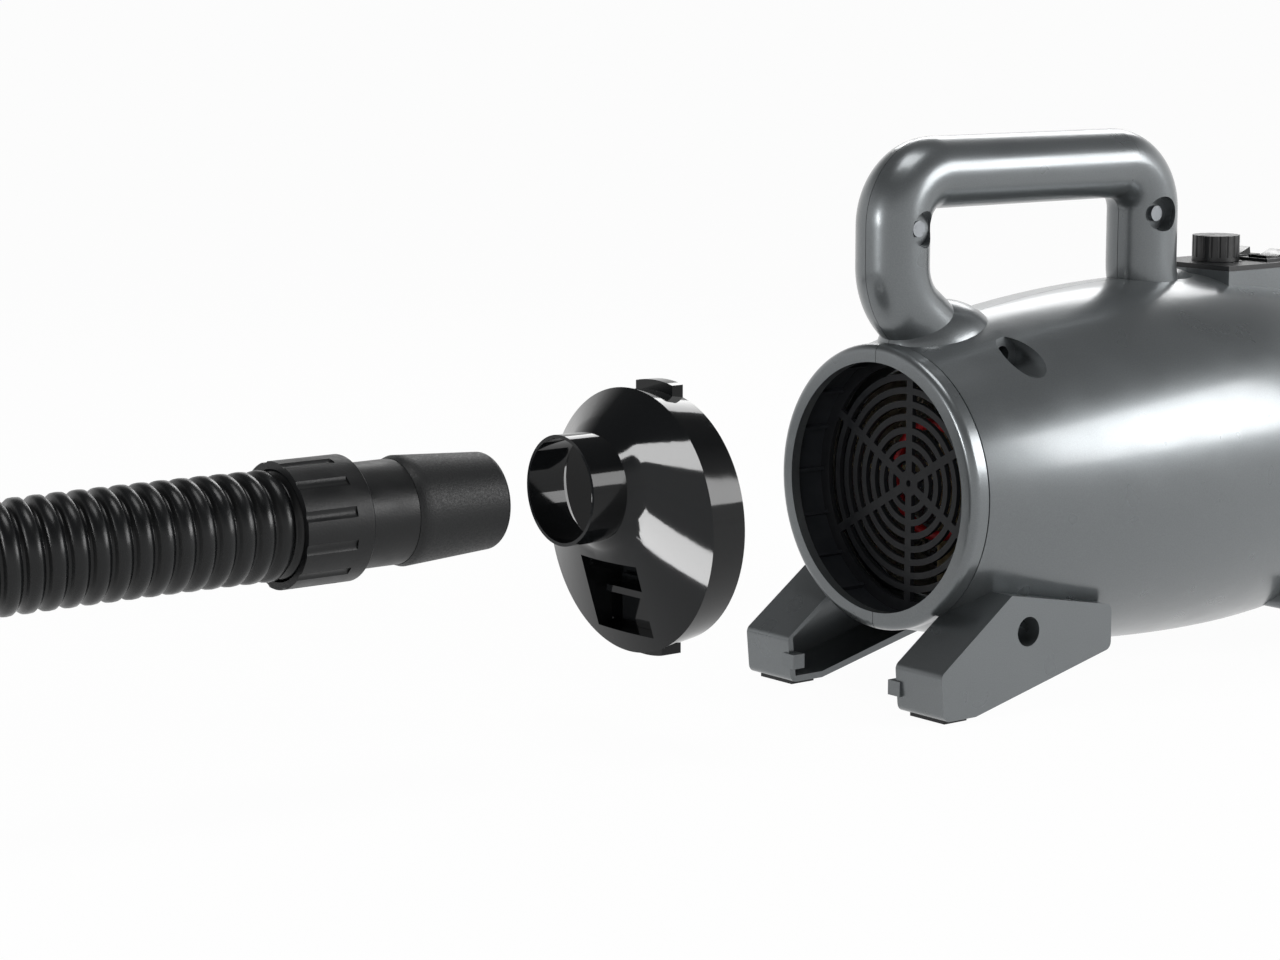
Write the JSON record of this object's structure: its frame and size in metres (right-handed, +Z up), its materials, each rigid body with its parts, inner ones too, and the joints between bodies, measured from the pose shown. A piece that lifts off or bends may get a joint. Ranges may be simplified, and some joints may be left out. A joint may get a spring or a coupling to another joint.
{
  "type": "pet dryer",
  "caption": "Pet grooming blower in two half shells with handle and legs, its front cover and ribbed hose pulled off in line on the air axis.",
  "frame": {"origin": "on the floor, under the middle of the box of casing and front cover", "axes": "+X along the air axis from the hose end to the casing's tail, +Y across to the right-hand flank, +Z up"},
  "size_m": [1.0265, 0.6993, 0.264],
  "materials": {
    "casing": "metallic silver-grey ABS, fine texture",
    "cover": "polished black ABS",
    "latch": "polished black ABS",
    "hose": "satin black, corrugated",
    "hose_fitting": "satin black, moulded",
    "cuff": "matt rubber",
    "nozzle": "satin black",
    "liner": "satin black, heat resistant",
    "grille": "satin dark grey",
    "duct": "rolled sheet",
    "mica": "pressed mica sheet",
    "element": "resistance wire",
    "lead": "red silicone sleeving",
    "steel": "plated",
    "laminations": "stacked sheet",
    "copper": "bare",
    "carbon": "pressed carbon",
    "mount_rubber": "matt",
    "fan": "moulded glass-filled nylon",
    "foam": "open-cell foam",
    "screw": "plated",
    "pads": "matt",
    "panel": "satin black",
    "knob": "satin black",
    "rocker": "polished black",
    "board": "coated board"
  },
  "bodies": {
    "casing": {"casing_left": "casing", "casing_right": "casing", "handle_left": "casing", "handle_right": "casing", "legs_left": "casing", "legs_right": "casing", "casing_screws": "screw", "foot_pads": "pads", "outlet_liner": "liner", "outlet_grille": "grille", "heater_duct": "duct", "mica_upright": "mica", "mica_flat": "mica", "heater_coil": "element", "heater_leads": "lead", "thermal_cutout": "steel", "motor_housing": "steel", "bearing_front": "steel", "bearing_rear": "steel", "stator": "laminations", "carbon_brushes": "carbon", "motor_mount": "mount_rubber", "motor_bracket": "fan", "fan_case": "fan", "fan_case_ring": "mount_rubber", "intake_guard": "grille", "control_panel": "panel", "control_board": "board", "potentiometer": "steel", "power_switch": "panel", "heat_switch": "panel", "cord_gland": "panel"},
    "cover": {"front_cover": "cover", "latch_spring": "steel"},
    "latch": {"release_latch": "latch"},
    "hose_line": {"hose": "hose", "hose_collar": "hose_fitting", "hose_tail_collar": "hose_fitting", "nozzle_grip": "hose_fitting", "nozzle": "nozzle"},
    "cuff": {"hose_cuff": "cuff", "hose_sleeve": "hose_fitting"},
    "rotor": {"motor_shaft": "steel", "armature": "laminations", "commutator": "copper", "impeller": "fan", "impeller_nut": "steel"},
    "knob": {"speed_knob": "knob", "knob_stem": "steel"},
    "power_rocker": {"power_rocker": "rocker"},
    "heat_rocker": {"heat_rocker": "rocker"},
    "filter_cap": {"intake_cap": "casing", "filter_foam": "foam"}
  },
  "joints": [
    {"name": "cover_pull", "type": "slide", "parent": "casing", "child": "cover", "axis": [1, 0, 0], "range_m": [0, 0.146]},
    {"name": "latch_press", "type": "slide", "parent": "cover", "child": "latch", "axis": [0, 0, 1], "range_m": [0, 0.005], "stiffness_N_per_m": 600, "deforming": ["latch_spring"]},
    {"name": "hose_pull", "type": "slide", "parent": "cover", "child": "hose_line", "axis": [1, 0, 0], "range_m": [0, 0.072]},
    {"name": "cuff_turn", "type": "hinge", "parent": "hose_line", "child": "cuff", "pos_m": [-0.3545, 0, 0.117], "axis": [1, 0, 0], "continuous": true},
    {"name": "fan_spin", "type": "hinge", "parent": "casing", "child": "rotor", "pos_m": [0.1, 0, 0.1], "axis": [1, 0, 0], "continuous": true},
    {"name": "knob_turn", "type": "hinge", "parent": "casing", "child": "knob", "pos_m": [0.1505, 0, 0.2013], "axis": [0, 0, 1], "range_deg": [0, 270]},
    {"name": "power_tilt", "type": "hinge", "parent": "casing", "child": "power_rocker", "pos_m": [0.1765, -0.0125, 0.1945], "axis": [0, 1, 0], "range_deg": [0, 16]},
    {"name": "heat_tilt", "type": "hinge", "parent": "casing", "child": "heat_rocker", "pos_m": [0.1765, 0.0125, 0.1945], "axis": [0, 1, 0], "range_deg": [0, 16]},
    {"name": "filter_cap_pull", "type": "slide", "parent": "casing", "child": "filter_cap", "axis": [1, 0, 0], "range_m": [0, 0.045]}
  ]
}
